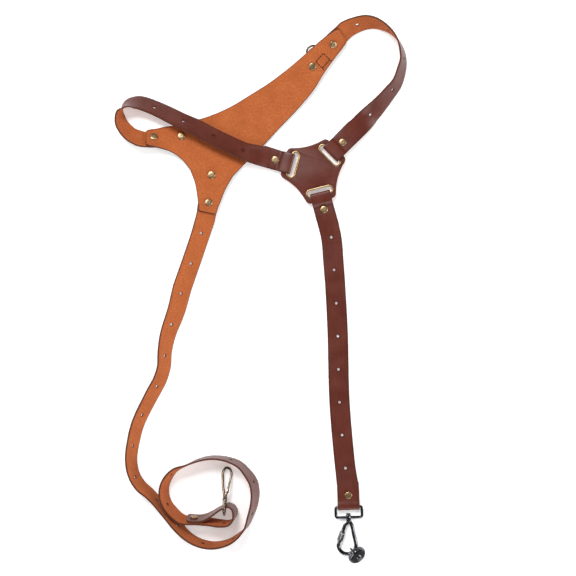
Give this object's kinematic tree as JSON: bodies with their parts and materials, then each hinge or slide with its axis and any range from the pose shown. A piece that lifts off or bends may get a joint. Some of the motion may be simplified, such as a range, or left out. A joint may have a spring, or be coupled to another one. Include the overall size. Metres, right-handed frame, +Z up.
{
  "type": "camera shoulder harness",
  "caption": "Leather double shoulder harness laid flat: forked back yoke, curled shoulder straps, slotted chest plate, punched drop straps, swivel carabiner with camera knob, and snap hook.",
  "frame": {"origin": "on the table, under the middle of the harness's outline", "axes": "X to the right, Y from the drop straps' ends towards the shoulder end, Z up from the table"},
  "size_m": [0.3623, 0.6793, 0.0364],
  "materials": {
    "leather_grain": "satin, smooth dark red-brown grain side",
    "leather_flesh": "matt, orange tan flesh side with short nap",
    "antique_brass": "antique brass, polished high spots",
    "gunmetal": "gunmetal plating, glossy",
    "bronze": "dark bronze plating, glossy",
    "pad_rubber": "matt black"
  },
  "bodies": {
    "harness": {"back_yoke": "leather_flesh", "left_shoulder_strap": "leather_grain", "right_shoulder_strap": "leather_grain", "front_drop_strap": "leather_grain", "rear_drop_strap": "leather_grain", "chest_plate": "leather_grain", "slot_eyelet_right": "antique_brass", "slot_eyelet_left": "antique_brass", "slot_eyelet_front": "antique_brass", "yoke_screw_right_outer": "antique_brass", "yoke_screw_right_inner": "antique_brass", "yoke_screw_left_outer": "antique_brass", "yoke_screw_left_inner": "antique_brass", "yoke_screw_rear_outer": "antique_brass", "yoke_screw_rear_inner": "antique_brass", "plate_screw_right": "antique_brass", "plate_screw_left": "antique_brass", "plate_screw_front": "antique_brass", "loop_screw": "antique_brass", "end_loop_screw": "antique_brass", "d_ring": "antique_brass", "d_ring_tab": "leather_grain", "swivel_loop": "gunmetal", "hook_eye": "bronze"},
    "carabiner": {"carabiner_body": "gunmetal", "camera_fastener": "gunmetal", "rubber_pad": "pad_rubber"},
    "gate": {"carabiner_gate": "gunmetal"},
    "sleeve": {"carabiner_sleeve": "gunmetal"},
    "hook": {"hook_body": "bronze"},
    "latch": {"hook_gate": "bronze"}
  },
  "joints": [
    {"name": "carabiner_swivel", "type": "hinge", "parent": "harness", "child": "carabiner", "pos_m": [0.10878, -0.28422, 0.0035], "axis": [0.0349, -0.9991, 0.0227], "continuous": true},
    {"name": "carabiner_gate_hinge", "type": "hinge", "parent": "carabiner", "child": "gate", "pos_m": [0.10431, -0.29398, 0.00372], "axis": [-0.0008, 0.0227, 0.9997], "range_deg": [0, 25], "stiffness_Nm_per_rad": 0.02, "springref_deg": -22.92},
    {"name": "sleeve_slide", "type": "slide", "parent": "gate", "child": "sleeve", "axis": [-0.3211, -0.9468, 0.0212], "range_m": [0, 0.0036]},
    {"name": "hook_swivel", "type": "hinge", "parent": "harness", "child": "hook", "pos_m": [-0.0448, -0.2606, 0.0156], "axis": [0.0492, 0.9384, -0.342], "continuous": true},
    {"name": "hook_gate_hinge", "type": "hinge", "parent": "hook", "child": "latch", "pos_m": [-0.04203, -0.25162, 0.01228], "axis": [0.0179, 0.3416, 0.9397], "range_deg": [0, 16], "stiffness_Nm_per_rad": 0.01, "springref_deg": -22.92}
  ]
}
